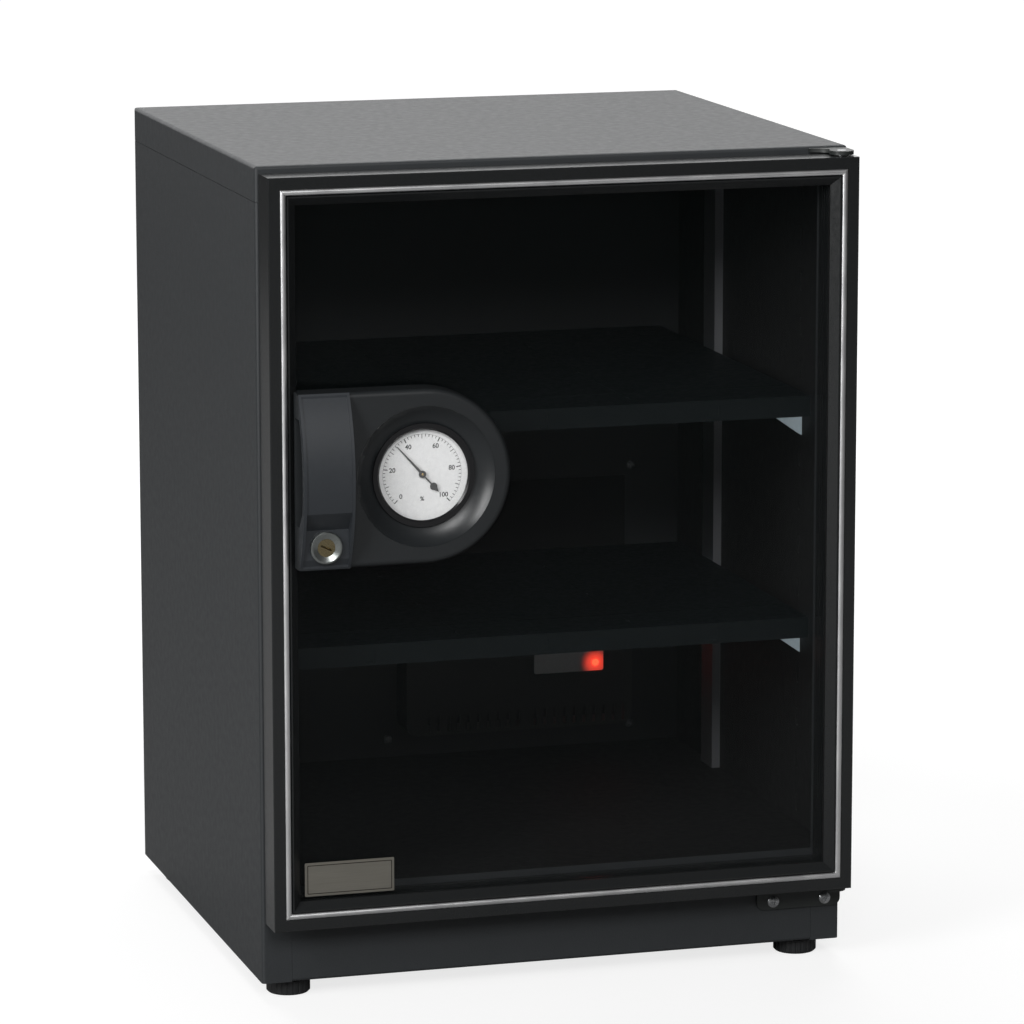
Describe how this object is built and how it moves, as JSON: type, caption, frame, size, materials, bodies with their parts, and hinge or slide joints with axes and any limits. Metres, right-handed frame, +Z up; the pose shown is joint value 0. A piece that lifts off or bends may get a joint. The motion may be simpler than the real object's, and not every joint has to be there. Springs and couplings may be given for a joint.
{
  "type": "camera dry cabinet",
  "caption": "Upright sheet-steel dry cabinet with a framed glass door, bowed handle with lock and round hygrometer, slotted walls, two lift-out shelves and a drying unit.",
  "frame": {"origin": "on the floor plane, under the middle of the whole object in width and depth, with the door and rear cover counted", "axes": "+X to the right seen from the front, +Y from the door towards the back, +Z up"},
  "size_m": [0.4, 0.42, 0.55],
  "materials": {
    "case_paint": "fine textured matt black powder paint",
    "liner_paint": "satin black paint",
    "channel": "satin",
    "clip": "translucent moulded plastic",
    "zinc": "zinc plated",
    "screw_steel": "plated",
    "bracket_paint": "satin black paint",
    "unit_plastic": "fine spark texture",
    "desiccant_plastic": "moulded",
    "flap_plastic": "moulded",
    "board": "varnished glass fibre",
    "led": "clear red plastic, lit",
    "frame_black": "satin black over extruded aluminium",
    "trim_silver": "bright satin",
    "glass": "polished, slightly tinted",
    "lens": "clear moulded",
    "seal_rubber": "matt black",
    "bush_plastic": "plain",
    "handle_plastic": "fine spark texture",
    "grip_plastic": "satin",
    "plate_steel": "black paint",
    "gauge_black": "gloss black",
    "dial_white": "white with printed scale",
    "brass": "plain",
    "lock_chrome": "bright",
    "plug_brass": "nickel plated brass",
    "needle_black": "matt black",
    "name_plate": "satin, bare",
    "shelf_paint": "satin black powder paint",
    "foot_plastic": "moulded black"
  },
  "bodies": {
    "cabinet": {"top_panel": "case_paint", "side_panel_left": "case_paint", "side_panel_right": "case_paint", "back_panel": "case_paint", "base_panel": "case_paint", "plinth_front": "case_paint", "floor_panel": "liner_paint", "ceiling_panel": "liner_paint", "inner_wall_left": "liner_paint", "inner_wall_right": "liner_paint", "unit_top_plate": "liner_paint", "side_channels": "channel", "shelf_clips": "clip", "foot_nuts": "zinc", "strike_plate": "zinc", "heater_plate": "zinc", "panel_screws": "screw_steel", "hinge_screws": "screw_steel", "hinge_pins": "screw_steel", "top_hinge_bracket": "bracket_paint", "bottom_hinge_bracket": "bracket_paint", "unit_cover": "unit_plastic", "damper_frame": "unit_plastic", "rear_cover": "unit_plastic", "cord_gland": "unit_plastic", "desiccant_box": "desiccant_plastic", "control_board": "board", "status_led": "led"},
    "door": {"door_frame_top": "frame_black", "door_frame_bottom": "frame_black", "door_frame_left": "frame_black", "door_frame_right": "frame_black", "corner_keys": "zinc", "door_trim": "trim_silver", "door_glass": "glass", "glazing_gasket": "seal_rubber", "door_gasket": "seal_rubber", "hinge_bushes": "bush_plastic", "handle_base": "handle_plastic", "handle_grip": "grip_plastic", "handle_backplate": "plate_steel", "handle_screws": "screw_steel", "dial_surround": "handle_plastic", "hygrometer_case": "gauge_black", "dial_face": "dial_white", "dial_lens": "lens", "hygrometer_coil": "brass", "lock_body": "lock_chrome", "lock_nut": "zinc", "name_plate": "name_plate"},
    "lock": {"lock_plug": "plug_brass", "lock_cam": "zinc"},
    "needle": {"needle": "needle_black"},
    "upper_shelf": {"upper_shelf": "shelf_paint"},
    "lower_shelf": {"lower_shelf": "shelf_paint"},
    "foot_front_left": {"foot_front_left": "foot_plastic"},
    "foot_front_right": {"foot_front_right": "foot_plastic"},
    "foot_rear_left": {"foot_rear_left": "foot_plastic"},
    "foot_rear_right": {"foot_rear_right": "foot_plastic"},
    "damper": {"damper_flap": "flap_plastic"}
  },
  "joints": [
    {"name": "door_hinge", "type": "hinge", "parent": "cabinet", "child": "door", "pos_m": [0.1904, -0.17, 0.3], "axis": [0, 0, 1], "range_deg": [0, 120]},
    {"name": "lock_turn", "type": "hinge", "parent": "door", "child": "lock", "pos_m": [-0.16615, -0.198, 0.3095], "axis": [0, 1, 0], "range_deg": [0, 90]},
    {"name": "needle_turn", "type": "hinge", "parent": "door", "child": "needle", "pos_m": [-0.0989, -0.185, 0.3515], "axis": [0, 1, 0], "range_deg": [-93, 177], "stiffness_Nm_per_rad": 0.001},
    {"name": "upper_shelf_lift", "type": "slide", "parent": "cabinet", "child": "upper_shelf", "axis": [0, 0, 1], "range_m": [0, 0.02]},
    {"name": "lower_shelf_lift", "type": "slide", "parent": "cabinet", "child": "lower_shelf", "axis": [0, 0, 1], "range_m": [0, 0.02]},
    {"name": "damper_swing", "type": "hinge", "parent": "cabinet", "child": "damper", "pos_m": [0.035, 0.185, 0.133], "axis": [1, 0, 0], "range_deg": [0, 60]},
    {"name": "foot_front_left_screw", "type": "slide", "parent": "cabinet", "child": "foot_front_left", "axis": [0, 0, 1], "range_m": [-0.008, 0]},
    {"name": "foot_front_right_screw", "type": "slide", "parent": "cabinet", "child": "foot_front_right", "axis": [0, 0, 1], "range_m": [-0.008, 0]},
    {"name": "foot_rear_left_screw", "type": "slide", "parent": "cabinet", "child": "foot_rear_left", "axis": [0, 0, 1], "range_m": [-0.008, 0]},
    {"name": "foot_rear_right_screw", "type": "slide", "parent": "cabinet", "child": "foot_rear_right", "axis": [0, 0, 1], "range_m": [-0.008, 0]}
  ]
}
